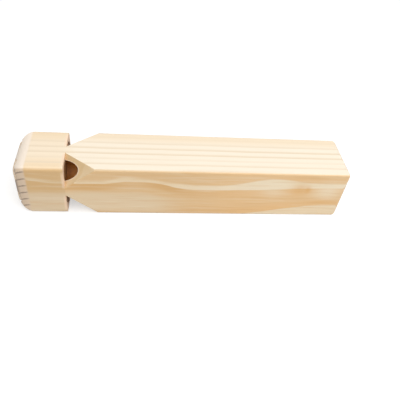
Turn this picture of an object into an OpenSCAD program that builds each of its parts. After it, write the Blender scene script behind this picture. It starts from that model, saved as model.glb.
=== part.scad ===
// Wooden train whistle: a square block of pine with four stopped pipes bored lengthwise near its
// corners. Every pipe is closed at the mouth end by a dowel plug with a flat on its outer side.
// The flat leaves a windway that blows across a notch in the corner onto the sharp lip of a ramp.
//
// Millimetres. X runs along the block with the mouth end at -X, Z is up, and the block lies on
// one of its long faces with the origin under its middle.

/* [Block] */
// Wood between a bore and the two outer faces beside it
outer_wall = 2.2; // [1:0.1:4]
// Wood between two neighbouring bores
center_web = 4.6; // [1:0.1:6]
// Wood left behind the drill point of the longest chamber
tail_wall = 7.4; // [3:0.2:20]
// Rounding of the long edges behind the notches
arris_radius = 0.9; // [0.3:0.1:2]
// Round-over of the four edges at the tail end
tail_roundover = 2.2; // [1:0.1:6]

/* [Mouthpiece] */
// From the mouth end to the square wall of the notches
mouthpiece_length = 25; // [16:0.5:40]
// Round-over of the four edges at the mouth end
mouth_roundover = 8; // [2:0.25:12]
// Rounding of the mouthpiece's long edges
mouthpiece_arris = 1.8; // [0.5:0.1:2.5]

/* [Pipes] */
// Diameter of the four bores
bore_diameter = 10.5; // [9:0.25:16]
// Chamber of the lowest note, top front: plug to drill point
chamber_root = 136; // [100:1:200]
// Chamber of the third, top back
chamber_third = 106; // [60:1:200]
// Chamber of the fifth, bottom front
chamber_fifth = 88; // [60:1:200]
// Chamber of the sixth, bottom back
chamber_sixth = 77; // [60:1:200]
// Full angle of the drill's point
drill_angle = 118; // [90:1:150]
// Width of the flat that the drill's chisel edge leaves
drill_flat = 1.5; // [0.5:0.1:3]

/* [Voicing] */
// Height of the windway between a plug's flat and its bore
windway_height = 1.2; // [0.8:0.1:3]
// How deep a notch cuts into the bore at its wall
window_reach = 3.6; // [3:0.1:6]
// From the windway's end to the lip of the ramp
cut_up = 6.5; // [4:0.1:10]
// Glue line round a plug
plug_clearance = 0.05; // [0.02:0.01:0.2]

/* [Hidden] */
$fn = 96;
bore_radius = bore_diameter / 2;
// Depth of a drill point below the full width of its bore
drill_point = (bore_radius - drill_flat / 2) / tan(drill_angle / 2);
chambers = [chamber_root, chamber_third, chamber_fifth, chamber_sixth];
block_side = 2 * (outer_wall + bore_diameter) + center_web;
block_length = mouthpiece_length + max(chambers) + drill_point + tail_wall;
mouth_x = -block_length / 2;
tail_x = block_length / 2;
wall_x = mouth_x + mouthpiece_length;
// The two roundings of the long edges lap between these places, where the notches cut them away
lap_from_x = wall_x + cut_up / 4;
lap_to_x = wall_x + cut_up / 2;
// From the block's axis to a bore's axis, along Y and along Z
bore_offset = (bore_diameter + center_web) / 2;
// From a bore's axis to the block's unrounded edge, along the diagonal
edge_height = (outer_wall + bore_radius) * sqrt(2);
// Foot of a notch's wall, above the bore's axis along the diagonal
foot_height = bore_radius - window_reach;
// Past a face that a cut runs through
overcut = 1;

// The four pipes: name, then the side of the block along Y and along Z
CORNERS = [
    ["top_front", -1, 1],
    ["top_back", 1, 1],
    ["bottom_front", -1, -1],
    ["bottom_back", 1, -1]
];
function plug_name(corner) = str("fipple_plug_", CORNERS[corner][0]);

// A pipe's own frame: X along its bore, Z out along the diagonal to the block's edge.
module pipe_frame(corner) {
    side_y = CORNERS[corner][1];
    side_z = CORNERS[corner][2];
    translate([0, side_y * bore_offset, block_side / 2 + side_z * bore_offset])
        rotate([atan2(-side_y, side_z), 0, 0])
            children();
}

// A rectangle from [0, 0] to size with its corners rounded: r_left at x = 0, r_right at the far x.
module rounded_plate(size, r_left, r_right) {
    translate([r_left, 0]) square([size[0] - r_left - r_right, size[1]]);
    translate([0, r_left]) square([r_left, size[1] - 2 * r_left]);
    translate([size[0] - r_right, r_right]) square([r_right, size[1] - 2 * r_right]);
    for (high = [0, 1]) {
        translate([r_left, high ? size[1] - r_left : r_left]) circle(r_left);
        translate([size[0] - r_right, high ? size[1] - r_right : r_right]) circle(r_right);
    }
}

// The block's length seen from one side, rounded over at the mouth and less so at the tail.
module long_profile() {
    rounded_plate([block_length, block_side], mouth_roundover, tail_roundover);
}

// The round-overs of neighbouring edges cross, so they meet in mitres at the corners of each end.
module rounded_ends() {
    span = block_side + 2 * overcut;
    intersection() {
        translate([mouth_x, span / 2, 0])
            rotate([90, 0, 0])
                linear_extrude(span) long_profile();
        translate([mouth_x, -block_side / 2, -overcut])
            linear_extrude(span) long_profile();
    }
}

// A stretch of the square section along X, with its long edges rounded.
module square_bar(x_from, x_to, edge_radius) {
    translate([x_from, -block_side / 2, 0])
        rotate([90, 0, 90])
            linear_extrude(x_to - x_from)
                rounded_plate([block_side, block_side], edge_radius, edge_radius);
}

// A blind bore, drilled from the mouth end to the end of its chamber, with the drill's pointed end.
module pipe_bore(chamber) {
    entry_x = mouth_x - overcut;
    chamber_x = wall_x + chamber;
    rotate([0, 90, 0])
        rotate_extrude()
            polygon([
                [0, entry_x],
                [bore_radius, entry_x],
                [bore_radius, chamber_x],
                [drill_flat / 2, chamber_x + drill_point],
                [0, chamber_x + drill_point]
            ]);
}

// The notch in an edge: a square wall at the mouthpiece, and a ramp that meets the bore in the lip.
module window_notch() {
    top = edge_height + overcut;
    ramp_end = wall_x + cut_up * (top - foot_height) / window_reach;
    rotate([90, 0, 0])
        linear_extrude(2 * block_side, center = true)
            polygon([[wall_x, foot_height], [ramp_end, top], [wall_x, top]]);
}

// The pine block with its four pipes and their notches.
module whistle_body() {
    color("burlywood")
        difference() {
            intersection() {
                rounded_ends();
                union() {
                    square_bar(mouth_x, lap_to_x, mouthpiece_arris);
                    square_bar(lap_from_x, tail_x, arris_radius);
                }
            }
            for (corner = [0:3])
                pipe_frame(corner) {
                    pipe_bore(chambers[corner]);
                    window_notch();
                }
        }
}

// A dowel glued into the mouth of a bore, with a flat on its outer side for the windway.
module fipple_plug(corner) {
    color("wheat")
        intersection() {
            rounded_ends();
            pipe_frame(corner)
                difference() {
                    translate([mouth_x, 0, 0])
                        rotate([0, 90, 0])
                            cylinder(r = bore_radius - plug_clearance, h = mouthpiece_length);
                    translate([mouth_x - overcut, -bore_radius, bore_radius - windway_height])
                        cube([mouthpiece_length + 2 * overcut, bore_diameter, windway_height]);
                }
        }
}

whistle_body();
for (corner = [0:3])
    fipple_plug(corner);
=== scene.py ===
"""Wooden train whistle: models the pine block and its four fipple plugs over their CAD frame.

Metres throughout, with millimetres inside the materials of the two woods. X runs along the block with
the mouth end at -X, and Z is up.
"""

import functools
import math

import bmesh
import bpy
from mathutils import Matrix, Vector


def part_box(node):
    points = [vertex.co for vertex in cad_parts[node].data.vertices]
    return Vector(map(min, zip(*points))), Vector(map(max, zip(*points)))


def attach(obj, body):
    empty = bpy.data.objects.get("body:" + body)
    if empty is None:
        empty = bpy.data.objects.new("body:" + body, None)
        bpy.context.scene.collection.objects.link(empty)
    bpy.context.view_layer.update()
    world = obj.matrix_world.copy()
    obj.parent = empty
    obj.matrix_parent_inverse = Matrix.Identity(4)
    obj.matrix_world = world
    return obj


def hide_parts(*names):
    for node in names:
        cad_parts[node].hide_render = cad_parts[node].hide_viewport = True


bl_info = {
    "name": "Train Whistle",
    "version": (1, 0, 0),
    "blender": (4, 5, 0),
    "location": "View3D > Sidebar > Whistle",
    "description": "Models a wooden train whistle's pine block and fipple plugs over their CAD frame",
    "category": "Add Mesh",
}

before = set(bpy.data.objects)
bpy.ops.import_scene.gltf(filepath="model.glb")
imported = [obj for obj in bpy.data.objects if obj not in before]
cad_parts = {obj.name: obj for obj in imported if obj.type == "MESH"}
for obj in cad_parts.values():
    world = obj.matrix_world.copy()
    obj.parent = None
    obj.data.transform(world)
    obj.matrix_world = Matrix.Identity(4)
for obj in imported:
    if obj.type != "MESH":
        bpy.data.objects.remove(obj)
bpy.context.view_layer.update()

MM = 0.001

BLOCK_LOW, BLOCK_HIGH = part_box("whistle_body")
BLOCK_SIZE = BLOCK_HIGH - BLOCK_LOW
BLOCK_MIDDLE = (BLOCK_LOW + BLOCK_HIGH) / 2
MOUTH_X = BLOCK_LOW.x
TAIL_X = BLOCK_HIGH.x
# The plugs end at the square walls of the notches
WALL_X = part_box("fipple_plug_top_front")[1].x

# The four pipes: name, then the side of the block along Y and along Z
CORNERS = (
    ("top_front", -1, 1),
    ("top_back", 1, 1),
    ("bottom_front", -1, -1),
    ("bottom_back", 1, -1),
)

# How far a cutter runs past the face that it cuts through
OVERCUT = 1 * MM
# Points closer than this are at the same place
SAME_PLACE = 0.01 * MM
# Points closer than this become one after the cuts
WELD_GAP = 0.002 * MM
# Faces that turn by less are one flat
FLAT_ANGLE = math.radians(0.2)
# Edges that turn by more are sharp
SHARP_ANGLE = math.radians(35)
# Edges that turn by less are shaded smooth
SMOOTH_ANGLE = math.radians(40)
# Facets round a bore, and across each rounding
BORE_SIDES = 96
MOUTH_SEGMENTS = 14
TAIL_SEGMENTS = 8
MOUTHPIECE_ARRIS_SEGMENTS = 8
BODY_ARRIS_SEGMENTS = 5
EDGE_BREAK_SEGMENTS = 2
ROUND_PROFILE = 0.5
# A block that has all its cuts has more faces than this
FEWEST_FACES = 100


# Properties


class WhistleSizes(bpy.types.PropertyGroup):
    """The block's cuts and roundings."""

    bore_diameter: bpy.props.FloatProperty(
        name="Bore Diameter",
        description="Diameter of the four bores",
        default=10.5 * MM,
        unit="LENGTH",
    )
    outer_wall: bpy.props.FloatProperty(
        name="Outer Wall",
        description="Wood between a bore and the faces beside it",
        default=2.2 * MM,
        unit="LENGTH",
    )
    chambers: bpy.props.FloatVectorProperty(
        name="Chambers",
        description="From the plug to the drill point: top front, top back, bottom front, bottom back",
        size=4,
        default=(136 * MM, 106 * MM, 88 * MM, 77 * MM),
        unit="LENGTH",
    )
    drill_angle: bpy.props.FloatProperty(
        name="Drill Angle",
        description="Full angle of the drill's point",
        default=math.radians(118),
        unit="ROTATION",
    )
    drill_flat: bpy.props.FloatProperty(
        name="Drill Flat",
        description="Width of the flat left by the drill's chisel edge",
        default=1.5 * MM,
        unit="LENGTH",
    )
    window_reach: bpy.props.FloatProperty(
        name="Window Reach",
        description="How deep a notch cuts into its bore at the wall",
        default=3.6 * MM,
        unit="LENGTH",
    )
    cut_up: bpy.props.FloatProperty(
        name="Cut-Up",
        description="From the windway's end to the lip of the ramp",
        default=6.5 * MM,
        unit="LENGTH",
    )
    windway_height: bpy.props.FloatProperty(
        name="Windway Height",
        description="Between a plug's flat and its bore",
        default=1.2 * MM,
        unit="LENGTH",
    )
    glue_line: bpy.props.FloatProperty(
        name="Glue Line", description="Gap round a plug", default=0.05 * MM, unit="LENGTH"
    )
    mouth_roundover: bpy.props.FloatProperty(
        name="Mouth Round-Over",
        description="Radius of the four edges at the mouth end",
        default=8 * MM,
        unit="LENGTH",
    )
    tail_roundover: bpy.props.FloatProperty(
        name="Tail Round-Over",
        description="Radius of the four edges at the tail end",
        default=2.2 * MM,
        unit="LENGTH",
    )
    mouthpiece_arris: bpy.props.FloatProperty(
        name="Mouthpiece Arris",
        description="Rounding of the mouthpiece's long edges",
        default=1.8 * MM,
        unit="LENGTH",
    )
    body_arris: bpy.props.FloatProperty(
        name="Body Arris",
        description="Rounding of the long edges behind the notches",
        default=0.9 * MM,
        unit="LENGTH",
    )
    edge_break: bpy.props.FloatProperty(
        name="Edge Break",
        description="How far the cut edges are sanded off",
        default=0.25 * MM,
        unit="LENGTH",
    )


class PineLook(bpy.types.PropertyGroup):
    """The plank that the block is cut from."""

    ring_width: bpy.props.FloatProperty(
        name="Ring Width", description="Growth of one year", default=3.5 * MM, unit="LENGTH"
    )
    pith_behind: bpy.props.FloatProperty(
        name="Pith Behind",
        description="From the front face back to the heart of the tree",
        default=49 * MM,
        unit="LENGTH",
    )
    pith_height: bpy.props.FloatProperty(
        name="Pith Height",
        description="From the lower face up to the heart of the tree",
        default=10 * MM,
        unit="LENGTH",
    )
    first_ring: bpy.props.FloatProperty(
        name="First Ring",
        description="From the heart of the tree to the ring that the count starts at",
        default=49.9 * MM,
        unit="LENGTH",
    )
    year_seed: bpy.props.FloatProperty(
        name="Year Seed", description="Picks the years that left a strong line", default=1378, precision=0
    )
    quarter_early: bpy.props.FloatVectorProperty(
        name="Quarter-Sawn Early Wood",
        description="Spring growth on the faces that cut straight across the rings",
        subtype="COLOR",
        default=(0.95, 0.845, 0.69),
    )
    quarter_late: bpy.props.FloatVectorProperty(
        name="Quarter-Sawn Late Wood",
        description="Summer growth on the faces that cut straight across the rings",
        subtype="COLOR",
        default=(0.83, 0.69, 0.51),
    )
    honey_color: bpy.props.FloatVectorProperty(
        name="Honey",
        description="Golden tint by the worn edges",
        subtype="COLOR",
        default=(0.88, 0.68, 0.44),
    )
    plain_early: bpy.props.FloatVectorProperty(
        name="Plain-Sawn Early Wood",
        description="Spring growth on the faces that lie along the rings",
        subtype="COLOR",
        default=(0.86, 0.672, 0.432),
    )
    plain_late: bpy.props.FloatVectorProperty(
        name="Plain-Sawn Late Wood",
        description="Summer growth on the faces that lie along the rings",
        subtype="COLOR",
        default=(0.72, 0.43, 0.175),
    )
    tail_late: bpy.props.FloatVectorProperty(
        name="Late Wood at the Tail",
        description="Summer growth along the rings on the tail's half of the front",
        subtype="COLOR",
        default=(0.845, 0.488, 0.187),
    )
    bleached_color: bpy.props.FloatVectorProperty(
        name="Bleached Wood",
        description="Spring growth on the tail's half of the front",
        subtype="COLOR",
        default=(0.955, 0.83, 0.62),
    )
    lens_color: bpy.props.FloatVectorProperty(
        name="Pale Lens",
        description="Spring growth that the saw grazed",
        subtype="COLOR",
        default=(0.815, 0.65, 0.44),
    )
    knot_color: bpy.props.FloatVectorProperty(
        name="Knot Stain",
        description="Warm wood over a hidden knot",
        subtype="COLOR",
        default=(0.80, 0.46, 0.17),
    )
    # Dull wood of the ramps, and painted shade on the mouthpiece's front
    dull_and_shade_color: bpy.props.FloatVectorProperty(
        name="Dull Wood and Painted Shade",
        description="The ramps of the notches, and painted shade on the mouthpiece's front",
        subtype="COLOR",
        default=(0.63, 0.45, 0.235),
    )
    # A painted highlight on the ramps' edges at the bores
    rim_color: bpy.props.FloatVectorProperty(
        name="Painted Lip Highlight",
        description="Edges of the ramps at the bores",
        subtype="COLOR",
        default=(0.95, 0.80, 0.66),
    )
    # Pinkish end grain of the walls, painted paler for light, and the painted highlight on their edges
    wall_and_highlight_color: bpy.props.FloatVectorProperty(
        name="Notch Walls and Painted Highlight",
        description="End grain of the notches' square walls, painted paler for light, and a painted highlight on their edges",
        subtype="COLOR",
        default=(0.975, 0.715, 0.515),
    )
    end_early: bpy.props.FloatVectorProperty(
        name="End Grain",
        description="Cut ends of the fibres",
        subtype="COLOR",
        default=(0.76, 0.59, 0.43),
    )
    # Pale end grain, painted paler to stand in for the light on the mouth's round-over
    pale_end_color: bpy.props.FloatVectorProperty(
        name="Pale End Grain and Painted Light",
        description="The mouth's round-over above and below",
        subtype="COLOR",
        default=(0.965, 0.84, 0.705),
    )
    end_ring: bpy.props.FloatVectorProperty(
        name="End-Grain Rings",
        description="Summer growth on the ends",
        subtype="COLOR",
        default=(0.66, 0.43, 0.24),
    )
    # Dark sander strokes, and painted shade on the mouth, the mouthpiece's front and the lower edges
    stroke_and_shade_color: bpy.props.FloatVectorProperty(
        name="Sander Strokes and Painted Shade",
        description="Dark strokes in the end grain, and painted shade",
        subtype="COLOR",
        default=(0.27, 0.19, 0.14),
    )
    bore_color: bpy.props.FloatVectorProperty(
        name="Drilled Wood",
        description="Wall of the bores",
        subtype="COLOR",
        default=(0.52, 0.19, 0.028),
    )
    # A painted shadow on the bores' walls by the plugs
    bore_shadow_color: bpy.props.FloatVectorProperty(
        name="Painted Bore Shadow",
        description="Wall of the bores by the plugs",
        subtype="COLOR",
        default=(0.18, 0.05, 0.008),
    )


class DowelLook(bpy.types.PropertyGroup):
    """The dowel that the plugs are cut from."""

    ring_width: bpy.props.FloatProperty(
        name="Ring Width", description="Growth of one year", default=1.6 * MM, unit="LENGTH"
    )
    early: bpy.props.FloatVectorProperty(
        name="Early Wood", description="Spring growth", subtype="COLOR", default=(0.88, 0.72, 0.54)
    )
    late: bpy.props.FloatVectorProperty(
        name="Late Wood", description="Summer growth", subtype="COLOR", default=(0.70, 0.48, 0.28)
    )
    # Painted shade on the plugs' ends inside the windows
    inner_end_shade: bpy.props.FloatVectorProperty(
        name="Painted Shade on the Inner End",
        description="The plugs' ends inside the windows",
        subtype="COLOR",
        default=(0.30, 0.14, 0.05),
    )


class StageLook(bpy.types.PropertyGroup):
    """Floor, lamps and camera."""

    floor_size: bpy.props.FloatProperty(
        name="Floor Size", description="Side of the square floor", default=3.0, unit="LENGTH"
    )
    floor_color: bpy.props.FloatVectorProperty(
        name="Floor", description="Paint of the floor", subtype="COLOR", default=(0.62, 0.62, 0.62)
    )
    floor_lift: bpy.props.FloatProperty(
        name="Floor Lift", description="Glow that makes the unshaded floor look white", default=0.50
    )
    sky: bpy.props.FloatProperty(
        name="Sky", description="Strength of the even light from all round", default=0.40
    )
    key_power: bpy.props.FloatProperty(
        name="Key Power", description="Power of the soft lamp above", default=7.5, unit="POWER"
    )
    key_size: bpy.props.FloatProperty(
        name="Key Size", description="Width of the soft lamp", default=1.2, unit="LENGTH"
    )
    key_place: bpy.props.FloatVectorProperty(
        name="Key Place",
        description="Where the soft lamp hangs",
        subtype="TRANSLATION",
        default=(0.15, -0.34, 0.74),
    )
    camera_yaw: bpy.props.FloatProperty(
        name="Camera Yaw",
        description="Turn of the view to the right",
        default=math.radians(11.23),
        unit="ROTATION",
    )
    camera_pitch: bpy.props.FloatProperty(
        name="Camera Pitch",
        description="Tilt of the view downwards",
        default=math.radians(44.09),
        unit="ROTATION",
    )
    camera_roll: bpy.props.FloatProperty(
        name="Camera Roll",
        description="Tilt of the picture",
        default=math.radians(8.65),
        unit="ROTATION",
    )
    camera_place: bpy.props.FloatVectorProperty(
        name="Camera Place",
        description="Where the camera stands",
        subtype="TRANSLATION",
        default=(-25.9 * MM, -183.8 * MM, 177.4 * MM),
    )
    camera_lens: bpy.props.FloatProperty(
        name="Lens", description="Focal length", default=41.09, subtype="DISTANCE_CAMERA"
    )
    camera_frame: bpy.props.FloatProperty(
        name="Frame Width", description="Width of the camera's frame", default=36.0, subtype="DISTANCE_CAMERA"
    )
    camera_near: bpy.props.FloatProperty(
        name="Near Limit",
        description="Closest distance that the camera shows",
        default=5 * MM,
        unit="LENGTH",
    )


# Modelling helpers


def deselect_all():
    bpy.ops.object.select_all(action="DESELECT")


def make_active(piece):
    deselect_all()
    piece.select_set(True)
    bpy.context.view_layer.objects.active = piece


def apply_place(piece):
    """Puts the object at the origin and keeps its place in its mesh."""
    make_active(piece)
    bpy.ops.object.transform_apply(location=True, rotation=True, scale=True)


def pick(piece, mode, keep):
    """In edit mode, selects just the vertices, edges or faces that keep accepts."""
    bpy.ops.mesh.select_mode(type=mode)
    bpy.ops.mesh.select_all(action="DESELECT")
    mesh = bmesh.from_edit_mesh(piece.data)
    for element in {"VERT": mesh.verts, "EDGE": mesh.edges, "FACE": mesh.faces}[mode]:
        if keep(element):
            element.select_set(True)
    mesh.select_flush_mode()
    bmesh.update_edit_mesh(piece.data)


def edge_middle(edge):
    return (edge.verts[0].co + edge.verts[1].co) / 2


def round_edges(piece, keep, radius, segments):
    """In edit mode, rounds the edges that keep accepts."""
    pick(piece, "EDGE", keep)
    bpy.ops.mesh.bevel(offset=radius, segments=segments, profile=ROUND_PROFILE, affect="EDGES")


def cut(piece, cutter, operation):
    """Applies one Boolean to the piece."""
    make_active(piece)
    bpy.ops.object.modifier_add(type="BOOLEAN")
    modifier = piece.modifiers[-1]
    modifier.object = cutter
    modifier.operation = operation
    modifier.solver = "MANIFOLD"
    bpy.ops.object.modifier_apply(modifier=modifier.name)


def discard(*pieces):
    deselect_all()
    for piece in pieces:
        piece.select_set(True)
    bpy.ops.object.delete()


def copy_of(piece, name):
    make_active(piece)
    bpy.ops.object.duplicate()
    bpy.context.object.name = name
    return bpy.context.object


def bore_axis(side_y, side_z, sizes):
    """Where a pipe's axis crosses the middle of the block's length."""
    inset = sizes.outer_wall + sizes.bore_diameter / 2
    return Vector((
        0,
        side_y * (BLOCK_SIZE.y / 2 - inset),
        BLOCK_MIDDLE.z + side_z * (BLOCK_SIZE.z / 2 - inset),
    ))


def to_pipe(piece, side_y, side_z, sizes):
    """Moves a piece made round the X axis to its pipe, with its Z turned out to the block's edge."""
    piece.rotation_euler = (math.atan2(-side_y, side_z), 0, 0)
    piece.location = bore_axis(side_y, side_z, sizes)
    apply_place(piece)


def merge_flat_faces(piece):
    """Makes one face of each flat that the cuts split."""
    make_active(piece)
    bpy.ops.object.mode_set(mode="EDIT")
    bpy.ops.mesh.select_all(action="SELECT")
    bpy.ops.mesh.remove_doubles(threshold=WELD_GAP)
    bpy.ops.mesh.dissolve_limited(angle_limit=FLAT_ANGLE)
    bpy.ops.object.mode_set(mode="OBJECT")


def drop_points(piece, at_x):
    """Takes out the points that are left over at a place along X."""
    make_active(piece)
    bpy.ops.object.mode_set(mode="EDIT")
    pick(piece, "VERT", lambda vert: abs(vert.co.x - at_x) < SAME_PLACE)
    bpy.ops.mesh.dissolve_verts()
    bpy.ops.object.mode_set(mode="OBJECT")


def soften_cut_edges(piece, width, keep):
    """Breaks the sharp outward edges that keep accepts, and shades the piece."""
    make_active(piece)
    bpy.ops.object.mode_set(mode="EDIT")

    def is_cut(edge):
        return edge.is_manifold and edge.is_convex and edge.calc_face_angle() > SHARP_ANGLE and keep(edge)

    round_edges(piece, is_cut, width, EDGE_BREAK_SEGMENTS)
    bpy.ops.mesh.select_all(action="DESELECT")
    bpy.ops.object.mode_set(mode="OBJECT")
    bpy.ops.object.shade_smooth_by_angle(angle=SMOOTH_ANGLE)
    bpy.ops.object.modifier_add(type="WEIGHTED_NORMAL")
    piece.modifiers[-1].keep_sharp = True
    bpy.ops.object.modifier_apply(modifier=piece.modifiers[-1].name)


# Materials


class NodeBench:
    """Lays out one material: every method adds a node, feeds its inputs and returns its output."""

    def __init__(self, name):
        self.material = bpy.data.materials.new(name)
        self.material.use_nodes = True
        self.nodes = self.material.node_tree.nodes
        self.links = self.material.node_tree.links
        self.shader = self.nodes["Principled BSDF"]

    def feed(self, socket, value):
        if isinstance(value, bpy.types.NodeSocket):
            self.links.new(value, socket)
        elif isinstance(value, (int, float)):
            socket.default_value = value
        else:
            socket.default_value = (*value, 1)[: len(socket.default_value)]

    def add(self, kind, inputs, output=0, **settings):
        node = self.nodes.new(kind)
        for name, value in settings.items():
            setattr(node, name, value)
        for name, value in inputs.items():
            self.feed(node.inputs[name], value)
        return node.outputs[output]

    def math(self, operation, *values):
        return self.add("ShaderNodeMath", dict(enumerate(values)), operation=operation)

    def plus(self, *values):
        return functools.reduce(functools.partial(self.math, "ADD"), values)

    def minus(self, first, second):
        return self.math("SUBTRACT", first, second)

    def times(self, *values):
        return functools.reduce(functools.partial(self.math, "MULTIPLY"), values)

    def larger(self, first, second):
        return self.math("MAXIMUM", first, second)

    def below(self, value, limit):
        """One where the value is below the limit, and nothing elsewhere."""
        return self.math("LESS_THAN", value, limit)

    def length(self, *sides):
        """The length of the diagonal of these sides."""
        return self.math("SQRT", self.plus(*[self.times(side, side) for side in sides]))

    def stretch(self, vector, *factors):
        return self.add("ShaderNodeVectorMath", {0: vector, 1: factors}, operation="MULTIPLY")

    def split(self, vector):
        node = self.nodes.new("ShaderNodeSeparateXYZ")
        self.feed(node.inputs[0], vector)
        return node.outputs

    def noise(self, vector, detail=2.0, roughness=0.5):
        """A noise with features about as large as one unit of the vector."""
        inputs = {"Vector": vector, "Scale": 1.0, "Detail": detail, "Roughness": roughness}
        return self.add("ShaderNodeTexNoise", inputs, output="Fac")

    def ease(self, value, start, end, low=0.0, high=1.0):
        """Runs smoothly from low to high as the value goes from start to end."""
        inputs = {"Value": value, "From Min": start, "From Max": end, "To Min": low, "To Max": high}
        return self.add("ShaderNodeMapRange", inputs, interpolation_type="SMOOTHSTEP")

    def bell(self, value, middle, width, height=1.0):
        """The height at the middle, and nothing a few widths away."""
        off = self.times(self.minus(value, middle), 1 / width)
        return self.times(self.math("EXPONENT", self.times(off, off, -1.0)), height)

    def mix_value(self, factor, first, second):
        return self.add("ShaderNodeMix", {0: factor, 2: first, 3: second})

    def mix(self, factor, first, second):
        """Goes from the first colour to the second."""
        return self.add("ShaderNodeMix", {0: factor, 6: first, 7: second}, output=2, data_type="RGBA")

    def tint(self, color, other, *masks, share=1.0):
        """Mixes the other colour in where all the masks are, and by no more than the share."""
        return self.mix(self.times(*masks, share), color, other)

    def bump(self, height, strength, distance):
        inputs = {"Height": height, "Strength": strength, "Distance": distance}
        return self.add("ShaderNodeBump", inputs)


def millimetres(bench):
    """The place on the piece, in millimetres."""
    place = bench.nodes.new("ShaderNodeTexCoord").outputs["Object"]
    return bench.stretch(place, 1 / MM, 1 / MM, 1 / MM)


# Places on the block in the millimetres of the materials

MOUTH_MM = MOUTH_X / MM
TAIL_MM = TAIL_X / MM
WALL_MM = WALL_X / MM
MIDDLE_MM = BLOCK_MIDDLE.z / MM
HALF_SIDE_MM = BLOCK_SIZE.y / 2 / MM

# How often a pattern of the pine repeats in a millimetre along X, Y and Z
FIBRE_PITCH = (0.05, 1.6, 1.6)
STREAK_PITCH = (0.035, 0.7, 0.7)
CLOUD_PITCH = (0.02, 0.09, 0.09)
DRIFT_PITCH = (0.018, 0.07, 0.07)
RAGGED_PITCH = (0.05, 0.5, 0.5)

# Stretches along X of the figure on the front: where a change starts, and where it is complete
HEAD_START = (-58.0, -64.0)
GOLD_START = (-54.0, -64.0)
HEAD_CURL = (-64.0, -80.0)
HUMP_FOOT = (5.0, -16.0)
HUMP_AHEAD = (-43.0, -29.0)
HUMP_BEHIND = (-4.0, -24.0)
BAND_WIDENS = (-14.0, 2.0)
BROWN_FADES = (-14.0, 12.0)
BLEACH_START = (-24.0, 0.0)
BLEACH_END = (0.0, 34.0)
TAIL_WARMS = (-10.0, 35.0)
TAIL_RISE = (12.0, 80.0)
LENS_DROPS = (-26.0, -8.0)
LENS_FADES = (4.0, -20.0)

# The same up along Z
BAND_LOW = (9.0, 5.0)
HUMP_UP = (5.0, 15.0)
RISE_UP = (8.0, 18.0)
BLEACH_UP = (6.0, 14.0)
LENS_TOP = (17.0, 13.0)
LENS_FOOT = (0.0, 4.0)

# The same across, along Y
GOLD_SIDES = (3.0, 14.0)
GOLD_BACK = (5.0, 12.0)
RAMP_FRONT = (-14.5, -10.0)

# Swellings of the figure: middle and width along X
HUMP_BAND = (-31.0, 8.0)
HUMP_BROWN = (-27.0, 11.0)
KNOT_BAND = (44.0, 16.0)

# Soft spots on the front: middle along X and Z, width along X and Z
PALE_AHEAD_OF_KNOT = (46.0, 18.0, 7.0, 4.0)
PALE_BEHIND_KNOT = (76.0, 18.0, 8.0, 5.5)
KNOT_STAIN = (60.0, 19.5, 5.0, 4.5)
KNOT_HEART = (64.5, 19.0, 1.5, 2.2)
LOW_STAIN = (75.0, 10.5, 9.0, 1.6)

# The sander's strokes on the mouth: their spacing, and how far they slant
STROKE_SPACING = 4.4
STROKE_SLANT = 1.3


class PineBench(NodeBench):
    """The pine's bench, with what the layers of its colour share."""

    def __init__(self):
        super().__init__("pine")
        self.place = millimetres(self)
        self.x, self.y, self.z = self.split(self.place)
        self.out_y = self.math("ABSOLUTE", self.y)
        self.out_z = self.math("ABSOLUTE", self.minus(self.z, MIDDLE_MM))
        facing_x, facing_y, _ = self.split(self.nodes.new("ShaderNodeNewGeometry").outputs["Normal"])
        self.endwise = self.math("ABSOLUTE", facing_x)
        # Fibres run along the block
        self.fibre = self.pattern(FIBRE_PITCH, detail=4.0, roughness=0.65)
        self.streak = self.pattern(STREAK_PITCH, detail=3.0, roughness=0.6)
        self.cloud = self.pattern(CLOUD_PITCH)
        # The front and the back lie along the rings, the top and the bottom cut across them
        self.plain = self.ease(self.math("ABSOLUTE", facing_y), 0.35, 0.85)
        self.front = self.times(self.plain, self.below(self.y, 0.0))

    def pattern(self, pitch, **settings):
        """A noise that repeats at this pitch."""
        return self.noise(self.stretch(self.place, *pitch), **settings)

    def patch(self, x, z, x_width, z_width):
        """A soft spot on the front."""
        return self.times(self.front, self.bell(self.x, x, x_width), self.bell(self.z, z, z_width))


def late_wood(bench, rings):
    """How much of summer's growth there is at a count of rings: it builds up slowly and ends at once."""
    year = bench.math("FRACT", rings)
    return bench.times(bench.ease(year, 0.45, 0.92), bench.ease(year, 1.0, 0.95))


def broad_late_wood(bench, rings):
    """The same where the saw runs along the rings: each year has a light band, tan, then a brown edge."""
    year = bench.math("FRACT", rings)
    # The light band widens on the hump, towards the tail and low on the front
    light = bench.plus(
        bench.ease(bench.x, *BAND_WIDENS, low=0.08, high=0.2),
        bench.bell(bench.x, *HUMP_BAND, height=0.08),
        bench.bell(bench.x, *KNOT_BAND, height=0.32),
        bench.ease(bench.z, *BAND_LOW, high=0.3),
    )
    growth = bench.plus(
        bench.ease(bench.minus(year, light), -0.07, 0.07, high=0.6),
        bench.ease(year, 0.5, 0.72, high=-0.08),
    )
    growth = bench.times(growth, bench.ease(bench.x, *HEAD_START, low=1.0, high=1.35))
    # The brown edge is faint on the mouthpiece and on the hump, and fades behind it
    brown = bench.minus(
        bench.ease(bench.x, *BROWN_FADES, low=0.5, high=0.16),
        bench.bell(bench.x, *HUMP_BROWN, height=0.4),
    )
    brown = bench.times(
        brown,
        bench.ease(bench.x, *HEAD_START, low=1.0, high=0.3),
        bench.ease(year, 0.74, 0.88),
    )
    return bench.times(bench.plus(growth, brown), bench.ease(year, 1.0, 0.975))


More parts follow.
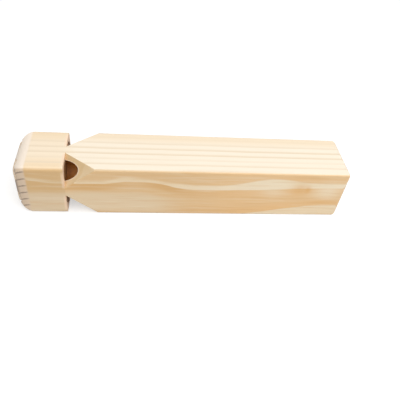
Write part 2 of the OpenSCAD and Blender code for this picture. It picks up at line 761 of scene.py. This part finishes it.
def year_rings(bench, look):
    """Counts the rings round the heart of the tree, which lies behind the block and wanders along it."""
    x, z = bench.x, bench.z
    # On the front they rise to both ends, and their upper half rises over a hump ahead of the middle
    hump = bench.plus(
        bench.ease(x, *HEAD_CURL, high=2.0),
        bench.ease(x, *HUMP_FOOT, high=3.05),
        bench.times(bench.ease(x, *HUMP_AHEAD), bench.ease(x, *HUMP_BEHIND, high=2.0)),
    )
    wander = bench.plus(
        bench.times(hump, bench.ease(z, *HUMP_UP)),
        bench.times(bench.ease(x, *TAIL_RISE, high=8.6), bench.ease(z, *RISE_UP, low=1.0, high=0.35)),
        -1.6,
    )
    # Behind the front they run straight
    wander = bench.mix_value(bench.ease(bench.y, 4.0 - HALF_SIDE_MM, -HALF_SIDE_MM), -2.2, wander)
    drift = bench.minus(bench.pattern(DRIFT_PITCH), 0.5)
    wander = bench.plus(wander, bench.times(drift, 1.2))
    up = bench.minus(bench.minus(z, wander), look.pith_height / MM)
    back = bench.minus(bench.y, look.pith_behind / MM - HALF_SIDE_MM)
    ragged = bench.minus(bench.pattern(RAGGED_PITCH, detail=3.0), 0.5)
    radius = bench.plus(bench.length(up, back), bench.times(ragged, 0.25))
    return bench.times(bench.minus(radius, look.first_ring / MM), MM / look.ring_width)


def grown_wood(bench, look, rings):
    """The plank's colour before any cut, and how much of it is summer's growth."""
    year = bench.plus(bench.math("FLOOR", rings), look.year_seed)
    good_year = bench.add("ShaderNodeTexWhiteNoise", {"W": year}, output="Value", noise_dimensions="1D")
    late = bench.times(late_wood(bench, rings), bench.ease(good_year, 0.0, 1.0, low=0.25, high=1.1))
    late = bench.plus(late, bench.times(bench.plain, bench.minus(broad_late_wood(bench, rings), late)))
    late = bench.times(late, bench.ease(bench.cloud, 0.25, 0.75, low=0.8))
    # The mouthpiece is golden, most of all near its edges, and so is the back edge
    golden = bench.times(
        bench.ease(bench.out_y, *GOLD_SIDES, low=0.35, high=0.85),
        bench.ease(bench.x, *GOLD_START),
    )
    golden = bench.larger(golden, bench.ease(bench.y, *GOLD_BACK, high=0.5))
    early_color = bench.mix(golden, look.quarter_early, look.honey_color)
    early_color = bench.mix(bench.plain, early_color, look.plain_early)
    bleached = bench.times(
        bench.plus(
            bench.ease(bench.x, *BLEACH_START, low=0.1, high=0.42),
            bench.ease(bench.x, *BLEACH_END, high=0.33),
        ),
        bench.ease(late, 0.35, 0.05),
        bench.ease(bench.z, *BLEACH_UP, low=0.5),
    )
    early_color = bench.tint(early_color, look.bleached_color, bench.front, bleached)
    warm = bench.times(bench.front, bench.ease(bench.x, *TAIL_WARMS))
    late_color = bench.mix(warm, look.plain_late, look.tail_late)
    late_color = bench.mix(bench.plain, look.quarter_late, late_color)
    return bench.mix(late, early_color, late_color), late


def front_figure(bench, look, color):
    """Where the saw grazed spring growth low on the front, and a knot just under it near the tail."""
    uneven = bench.minus(bench.plus(bench.cloud, bench.times(bench.streak, 0.6)), 0.8)
    height = bench.plus(bench.z, bench.times(uneven, 6.0), bench.ease(bench.x, *LENS_DROPS, high=4.0))
    on_head = bench.below(bench.x, WALL_MM)
    # The lens fades at its foot, though not on the mouthpiece
    foot = bench.larger(bench.ease(bench.z, *LENS_FOOT, low=0.5), on_head)
    lens = bench.times(bench.ease(height, *LENS_TOP), bench.ease(bench.x, *LENS_FADES), foot)
    color = bench.tint(color, look.lens_color, lens, bench.front, share=0.9)
    # Painted shade darkens the front of the mouthpiece, most outside its lens, and the lens a little
    head_front_shade = bench.ease(lens, 0.0, 1.0, low=0.38, high=0.0)
    color = bench.tint(color, look.dull_and_shade_color, on_head, bench.front, head_front_shade)
    painted_shade = bench.ease(lens, 0.0, 1.0, high=0.08)
    color = bench.tint(color, look.stroke_and_shade_color, on_head, bench.front, painted_shade)
    pale = bench.plus(bench.patch(*PALE_BEHIND_KNOT), bench.times(bench.patch(*PALE_AHEAD_OF_KNOT), 0.6))
    color = bench.tint(color, look.bleached_color, pale, share=0.72)
    stain = bench.plus(bench.patch(*KNOT_STAIN), bench.patch(*KNOT_HEART), bench.patch(*LOW_STAIN))
    return bench.tint(color, look.knot_color, stain, share=0.55)


def fibre_streaks(bench, look, color):
    """Fibres lighter and darker than their neighbours, strongest where the saw ran along the rings."""
    strength = bench.ease(bench.plain, 0.0, 1.0, low=0.5)
    paler = bench.ease(bench.streak, 0.5, 0.72, high=0.22)
    color = bench.tint(color, look.quarter_early, paler, strength)
    darker = bench.times(bench.ease(bench.streak, 0.5, 0.28, high=0.32), strength)
    darker = bench.plus(darker, bench.ease(bench.fibre, 0.35, 0.75, high=0.12))
    return bench.mix(darker, color, bench.mix(bench.plain, look.quarter_late, look.plain_late))


def end_grain(bench, look, sizes, color, late):
    """The ends are paler across the fibres, a coarse sander left strokes at the mouth's two sides, and light
    and shade are painted there.
    """
    reach = sizes.mouth_roundover / MM
    from_mouth = bench.minus(bench.x, MOUTH_MM)
    on_flat = bench.ease(from_mouth, 0.5, 0.05)
    off_flat = bench.minus(1.0, on_flat)
    # Above and below the mitres the round-over has no strokes, and is painted paler to stand in for the light
    # on it
    top_and_bottom = bench.ease(bench.minus(bench.out_z, bench.out_y), -0.7, 0.7)
    end_color = bench.mix(bench.times(top_and_bottom, off_flat), look.end_early, look.pale_end_color)
    color = bench.mix(bench.ease(from_mouth, 0.95 * reach, 0.8 * reach), color, end_color)
    # The rings show as arcs on the flat of both ends
    color = bench.tint(color, look.end_ring, on_flat, late, share=0.5)
    off_tail = bench.below(bench.x, TAIL_MM - 4)
    tail_color = bench.mix(late, look.end_early, look.end_ring)
    color = bench.tint(color, tail_color, bench.ease(bench.endwise, 0.3, 0.9), bench.minus(1.0, off_tail))
    # The strokes lie across the round-over, a little aslant
    along = bench.plus(bench.z, bench.times(bench.y, STROKE_SLANT), bench.minus(bench.fibre, 0.5))
    stroke = bench.math("FRACT", bench.times(along, 1 / STROKE_SPACING))
    strokes = bench.times(
        bench.ease(stroke, 0.68, 0.85),
        bench.ease(stroke, 0.98, 0.9),
        bench.ease(from_mouth, 0.95 * reach, 0.72 * reach, high=0.8),
        bench.minus(1.0, top_and_bottom),
    )
    # Painted shade darkens the turn to the flat of the mouth
    painted_shade = bench.times(
        bench.ease(from_mouth, 3.4, 1.0, high=0.9),
        bench.ease(top_and_bottom, 0.0, 1.0, low=1.0, high=0.3),
    )
    return bench.tint(color, look.stroke_and_shade_color, bench.larger(strokes, painted_shade), off_flat)


def off_bore_axis(bench, sizes):
    """The distance from the nearest bore's axis."""
    axis = bore_axis(1, 1, sizes) / MM
    return bench.length(bench.minus(bench.out_y, axis.y), bench.minus(bench.out_z, axis.z - MIDDLE_MM))


def notch_cuts(bench, look, sizes, color):
    """Ramps are duller than the faces, with a painted highlight at the lip, and the square walls are pinkish
    and painted paler.
    """
    bore = sizes.bore_diameter / 2 / MM
    off_axis = off_bore_axis(bench, sizes)
    ahead_of_wall = bench.below(bench.x, WALL_MM)
    near_notch = bench.minus(bench.below(bench.x, 0.0), bench.below(bench.x, WALL_MM - 0.5))
    ramp = bench.times(bench.ease(bench.endwise, 0.25, 0.4), near_notch)
    color = bench.tint(color, look.dull_and_shade_color, ramp, bench.ease(bench.y, *RAMP_FRONT, low=0.65, high=0.9))
    # A painted highlight lightens the ramps at the lip
    lip_highlight = bench.ease(off_axis, bore + 0.6, bore + 0.2)
    color = bench.tint(color, look.rim_color, ramp, lip_highlight, share=0.4)
    # The square walls are pinkish end grain, painted paler to stand in for the light on them
    color = bench.tint(color, look.wall_and_highlight_color, bench.ease(bench.endwise, 0.7, 0.95), near_notch)
    # A painted highlight runs along the mouthpiece's edge at the walls
    wall_edge_highlight = bench.times(bench.ease(bench.x, WALL_MM - 1.6, WALL_MM - 0.7), ahead_of_wall)
    near_bore = bench.ease(off_axis, bore + 4.5, bore + 2.5)
    color = bench.tint(color, look.wall_and_highlight_color, wall_edge_highlight, near_bore, share=0.6)
    # The bores end well before the tail
    in_bore = bench.times(bench.below(off_axis, bore + 0.03), bench.below(bench.x, TAIL_MM - 5))
    # A painted shadow darkens the bores by the plugs
    bore_shadow = bench.ease(bench.x, WALL_MM + 4.5, WALL_MM + 1.0, high=0.6)
    return bench.mix(in_bore, color, bench.mix(bore_shadow, look.bore_color, look.bore_shadow_color))


def pine_material(look, sizes):
    bench = PineBench()
    color, late = grown_wood(bench, look, year_rings(bench, look))
    color = front_figure(bench, look, color)
    color = fibre_streaks(bench, look, color)
    color = end_grain(bench, look, sizes, color, late)
    color = notch_cuts(bench, look, sizes, color)
    # Wear has burnished the long edges, golden on the upper ones, and painted shade darkens the lower ones
    near_edge = (HALF_SIDE_MM - 1.2, HALF_SIDE_MM - 0.2)
    worn = bench.times(bench.ease(bench.out_y, *near_edge), bench.ease(bench.out_z, *near_edge))
    low = bench.below(bench.z, MIDDLE_MM)
    burnish_and_shade_color = bench.mix(low, look.honey_color, look.stroke_and_shade_color)
    color = bench.tint(color, burnish_and_shade_color, worn, bench.mix_value(low, 0.3, 0.2))
    bench.feed(bench.shader.inputs["Base Color"], color)
    rough = bench.ease(bench.fibre, 0.3, 0.8, low=0.62, high=0.5)
    bench.feed(bench.shader.inputs["Roughness"], bench.minus(rough, bench.times(worn, 0.12)))
    bench.shader.inputs["Specular IOR Level"].default_value = 0.35
    height = bench.plus(bench.times(late, 0.4), bench.fibre)
    bench.feed(bench.shader.inputs["Normal"], bench.bump(height, strength=0.25, distance=0.08 * MM))
    return bench.material


def dowel_material(look):
    bench = NodeBench("dowel")
    place = millimetres(bench)
    x, y, z = bench.split(place)
    ragged = bench.minus(bench.noise(bench.stretch(place, 0.1, 0.5, 0.5), detail=3.0), 0.5)
    # The rings are so wide that they cross a plug as straight lines, on a slant
    radius = bench.plus(bench.times(y, 0.5), bench.times(z, 0.86), bench.times(ragged, 1.2))
    late = late_wood(bench, bench.times(radius, MM / look.ring_width))
    fibre = bench.noise(bench.stretch(place, 0.1, 2.0, 2.0), detail=4.0, roughness=0.65)
    color = bench.tint(look.early, look.late, late, share=0.8)
    color = bench.mix(bench.ease(fibre, 0.4, 0.8, high=0.3), color, look.late)
    # Painted shade darkens the plugs' ends inside the windows
    color = bench.mix(bench.below(x, WALL_MM - 0.5), look.inner_end_shade, color)
    bench.feed(bench.shader.inputs["Base Color"], color)
    bench.feed(bench.shader.inputs["Roughness"], bench.ease(fibre, 0.3, 0.8, low=0.68, high=0.55))
    bench.shader.inputs["Specular IOR Level"].default_value = 0.3
    bench.feed(bench.shader.inputs["Normal"], bench.bump(fibre, strength=0.25, distance=0.08 * MM))
    return bench.material


def seen_directly(nodes, links):
    """One for the rays from the camera, from mirrors and through glass."""
    path = nodes.new("ShaderNodeLightPath").outputs
    seen = path["Is Camera Ray"]
    for other in ("Is Glossy Ray", "Is Transmission Ray"):
        either = nodes.new("ShaderNodeMath")
        either.operation = "MAXIMUM"
        links.new(seen, either.inputs[0])
        links.new(path[other], either.inputs[1])
        seen = either.outputs[0]
    return seen


def floor_material(look):
    """A pale floor that looks white where nothing shades it, and keeps the shadow."""
    bench = NodeBench("floor_paint")
    bench.feed(bench.shader.inputs["Base Color"], look.floor_color)
    bench.shader.inputs["Roughness"].default_value = 0.9
    bench.shader.inputs["Specular IOR Level"].default_value = 0.0
    bench.shader.inputs["Emission Color"].default_value = (1, 1, 1, 1)
    lift = bench.times(seen_directly(bench.nodes, bench.links), look.floor_lift)
    bench.feed(bench.shader.inputs["Emission Strength"], lift)
    return bench.material


# Pieces


def part_line(sizes):
    """Where the two roundings of the long edges meet, inside the notches."""
    return WALL_X + sizes.cut_up / 3


def rounded_blank(sizes):
    """The block before it is drilled: round-overs that meet in mitres at both ends, and soft long edges."""
    deselect_all()
    bpy.ops.mesh.primitive_cube_add(size=1, location=BLOCK_MIDDLE, scale=BLOCK_SIZE)
    blank = bpy.context.object
    apply_place(blank)
    part_x = part_line(sizes)
    bpy.ops.object.mode_set(mode="EDIT")
    bpy.ops.mesh.select_all(action="SELECT")
    bpy.ops.mesh.bisect(plane_co=(part_x, 0, 0), plane_no=(1, 0, 0))

    def at_end(edge, end_x):
        return all(abs(vert.co.x - end_x) < SAME_PLACE for vert in edge.verts)

    def along_corner(edge, end_x):
        middle = edge_middle(edge)
        off_diagonal = abs(middle.y) - abs(middle.z - BLOCK_MIDDLE.z)
        return abs(off_diagonal) < SAME_PLACE and (middle.x - part_x) * end_x > 0

    at_mouth = functools.partial(at_end, end_x=MOUTH_X)
    round_edges(blank, at_mouth, sizes.mouth_roundover, MOUTH_SEGMENTS)
    on_mouthpiece = functools.partial(along_corner, end_x=MOUTH_X)
    round_edges(blank, on_mouthpiece, sizes.mouthpiece_arris, MOUTHPIECE_ARRIS_SEGMENTS)
    at_tail = functools.partial(at_end, end_x=TAIL_X)
    round_edges(blank, at_tail, sizes.tail_roundover, TAIL_SEGMENTS)
    behind_notches = functools.partial(along_corner, end_x=TAIL_X)
    round_edges(blank, behind_notches, sizes.body_arris, BODY_ARRIS_SEGMENTS)
    bpy.ops.object.mode_set(mode="OBJECT")
    return blank


def rod(radius, start_x, end_x):
    """A cylinder round the X axis."""
    deselect_all()
    bpy.ops.mesh.primitive_cylinder_add(
        vertices=BORE_SIDES,
        radius=radius,
        depth=end_x - start_x,
        location=((start_x + end_x) / 2, 0, 0),
        rotation=(0, math.pi / 2, 0),
    )
    apply_place(bpy.context.object)
    return bpy.context.object


def bore_cutter(chamber, sizes):
    """A drill's shape round the X axis, from outside the mouth to its point."""
    radius = sizes.bore_diameter / 2
    full_x = WALL_X + chamber
    cutter = rod(radius, MOUTH_X - OVERCUT, full_x)
    flat = sizes.drill_flat / sizes.bore_diameter
    point = (radius - sizes.drill_flat / 2) / math.tan(sizes.drill_angle / 2)
    bpy.ops.object.mode_set(mode="EDIT")
    pick(cutter, "FACE", lambda face: face.normal.x > 0.9)
    bpy.ops.mesh.extrude_region_move(TRANSFORM_OT_translate={"value": (point, 0, 0)})
    bpy.ops.transform.resize(value=(1, flat, flat), center_override=(full_x + point, 0, 0))
    bpy.ops.object.mode_set(mode="OBJECT")
    return cutter


def notch_cutter(sizes):
    """A wedge across the X axis: a square wall at the mouthpiece and a ramp up to the block's edge."""
    foot = sizes.bore_diameter / 2 - sizes.window_reach
    top = (sizes.outer_wall + sizes.bore_diameter / 2) * math.sqrt(2) + OVERCUT
    middle = (foot + top) / 2
    ramp_end = WALL_X + sizes.cut_up * (top - foot) / sizes.window_reach
    deselect_all()
    bpy.ops.mesh.primitive_cube_add(
        size=1,
        location=((WALL_X + ramp_end) / 2, 0, middle),
        scale=(ramp_end - WALL_X, 2 * BLOCK_SIZE.y, top - foot),
    )
    cutter = bpy.context.object
    apply_place(cutter)
    bpy.ops.object.mode_set(mode="EDIT")
    pick(cutter, "VERT", lambda vert: vert.co.x > WALL_X + OVERCUT and vert.co.z < middle)
    bpy.ops.transform.translate(value=(0, 0, top - foot))
    bpy.ops.mesh.select_all(action="SELECT")
    bpy.ops.mesh.remove_doubles(threshold=SAME_PLACE)
    bpy.ops.mesh.normals_make_consistent(inside=False)
    bpy.ops.object.mode_set(mode="OBJECT")
    return cutter


class WHISTLE_OT_pine_body(bpy.types.Operator):
    """Models the pine block with its four pipes and their notches"""

    bl_idname = "whistle.pine_body"
    bl_label = "Pine Body"

    def execute(self, context):
        sizes = context.scene.whistle_sizes
        body = rounded_blank(sizes)
        body.name = "pine_body"
        wedge = notch_cutter(sizes)
        for (name, side_y, side_z), chamber in zip(CORNERS, sizes.chambers):
            drill = bore_cutter(chamber, sizes)
            notch = copy_of(wedge, f"notch_{name}")
            for cutter in (drill, notch):
                to_pipe(cutter, side_y, side_z, sizes)
                cut(body, cutter, "DIFFERENCE")
            discard(drill, notch)
        discard(wedge)
        merge_flat_faces(body)
        drop_points(body, part_line(sizes))
        rounded_to = MOUTH_X + sizes.mouth_roundover
        flat_half = BLOCK_SIZE.y / 2 - sizes.body_arris
        past_ramps = WALL_X + 4 * sizes.cut_up

        def at_a_notch(edge):
            middle = edge_middle(edge)
            on_arris = min(abs(middle.y), abs(middle.z - BLOCK_MIDDLE.z)) > flat_half
            ramp_runs_out = middle.x > WALL_X + sizes.cut_up and on_arris
            return rounded_to < middle.x < past_ramps and not ramp_runs_out

        soften_cut_edges(body, sizes.edge_break, at_a_notch)
        if len(body.data.polygons) < FEWEST_FACES:
            raise RuntimeError("The pine block lost its cuts")
        body.data.materials.clear()
        body.data.materials.append(pine_material(context.scene.pine_look, sizes))
        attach(body, "root")
        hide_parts("whistle_body")
        return {"FINISHED"}


def plug_blank(sizes):
    """A dowel round the X axis with a flat on its Z side, longer than the mouthpiece by the overcut."""
    plug = rod(sizes.bore_diameter / 2 - sizes.glue_line, MOUTH_X - OVERCUT, WALL_X)
    bpy.ops.object.mode_set(mode="EDIT")
    bpy.ops.mesh.select_all(action="SELECT")
    bpy.ops.mesh.bisect(
        plane_co=(0, 0, sizes.bore_diameter / 2 - sizes.windway_height),
        plane_no=(0, 0, 1),
        use_fill=True,
        clear_outer=True,
    )
    bpy.ops.object.mode_set(mode="OBJECT")
    return plug


class WHISTLE_OT_fipple_plugs(bpy.types.Operator):
    """Models the dowel plugs that close the mouths of the bores"""

    bl_idname = "whistle.fipple_plugs"
    bl_label = "Fipple Plugs"

    def execute(self, context):
        sizes = context.scene.whistle_sizes
        rounded_to = MOUTH_X + sizes.mouth_roundover
        block = rounded_blank(sizes)
        dowel = plug_blank(sizes)
        wood = dowel_material(context.scene.dowel_look)
        for name, side_y, side_z in CORNERS:
            plug = copy_of(dowel, f"dowel_plug_{name}")
            to_pipe(plug, side_y, side_z, sizes)
            cut(plug, block, "INTERSECT")
            merge_flat_faces(plug)
            soften_cut_edges(plug, sizes.edge_break, lambda edge: edge_middle(edge).x > rounded_to)
            plug.data.materials.clear()
            plug.data.materials.append(wood)
            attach(plug, "root")
            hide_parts(f"fipple_plug_{name}")
        discard(block, dowel)
        return {"FINISHED"}


class WHISTLE_OT_stage(bpy.types.Operator):
    """Adds the floor, the lamps and the camera"""

    bl_idname = "whistle.stage"
    bl_label = "Stage"

    def execute(self, context):
        look = context.scene.stage_look
        deselect_all()
        bpy.ops.mesh.primitive_plane_add(size=look.floor_size, location=(0, 0, 0))
        floor = context.object
        floor.name = "floor"
        floor.data.materials.append(floor_material(look))

        bpy.ops.object.light_add(type="AREA", location=look.key_place)
        key = context.object
        key.name = "key_lamp"
        key.data.shape = "DISK"
        key.data.size = look.key_size
        key.data.energy = look.key_power
        key.rotation_euler = (BLOCK_MIDDLE - key.location).to_track_quat("-Z", "Y").to_euler()

        scene = context.scene
        scene.world = bpy.data.worlds.new("studio")
        scene.world.use_nodes = True
        nodes = scene.world.node_tree.nodes
        links = scene.world.node_tree.links
        backdrop = nodes["Background"]
        backdrop.inputs["Color"].default_value = (1, 1, 1, 1)
        strength = nodes.new("ShaderNodeMapRange")
        strength.inputs["To Min"].default_value = look.sky
        links.new(seen_directly(nodes, links), strength.inputs["Value"])
        links.new(strength.outputs[0], backdrop.inputs["Strength"])

        turn = (
            Matrix.Rotation(-look.camera_yaw, 4, "Z")
            @ Matrix.Rotation(math.pi / 2 - look.camera_pitch, 4, "X")
            @ Matrix.Rotation(look.camera_roll, 4, "Z")
        )
        bpy.ops.object.camera_add(location=look.camera_place, rotation=turn.to_euler())
        camera = context.object
        camera.name = "camera"
        camera.data.lens = look.camera_lens
        camera.data.sensor_width = look.camera_frame
        camera.data.clip_start = look.camera_near
        scene.camera = camera
        scene.view_settings.view_transform = "Standard"
        return {"FINISHED"}


class WHISTLE_PT_panel(bpy.types.Panel):
    """Lists the whistle's pieces in the sidebar"""

    bl_idname = "WHISTLE_PT_panel"
    bl_label = "Train Whistle"
    bl_space_type = "VIEW_3D"
    bl_region_type = "UI"
    bl_category = "Whistle"

    def draw(self, context):
        for operator in (WHISTLE_OT_pine_body, WHISTLE_OT_fipple_plugs, WHISTLE_OT_stage):
            self.layout.operator(operator.bl_idname)


CLASSES = (
    WhistleSizes,
    PineLook,
    DowelLook,
    StageLook,
    WHISTLE_OT_pine_body,
    WHISTLE_OT_fipple_plugs,
    WHISTLE_OT_stage,
    WHISTLE_PT_panel,
)


def register():
    for cls in CLASSES:
        bpy.utils.register_class(cls)
    bpy.types.Scene.whistle_sizes = bpy.props.PointerProperty(type=WhistleSizes)
    bpy.types.Scene.pine_look = bpy.props.PointerProperty(type=PineLook)
    bpy.types.Scene.dowel_look = bpy.props.PointerProperty(type=DowelLook)
    bpy.types.Scene.stage_look = bpy.props.PointerProperty(type=StageLook)


def unregister():
    for name in ("whistle_sizes", "pine_look", "dowel_look", "stage_look"):
        delattr(bpy.types.Scene, name)
    for cls in reversed(CLASSES):
        bpy.utils.unregister_class(cls)


def main():
    register()
    bpy.ops.whistle.pine_body()
    bpy.ops.whistle.fipple_plugs()
    bpy.ops.whistle.stage()


if __name__ == "__main__":
    main()
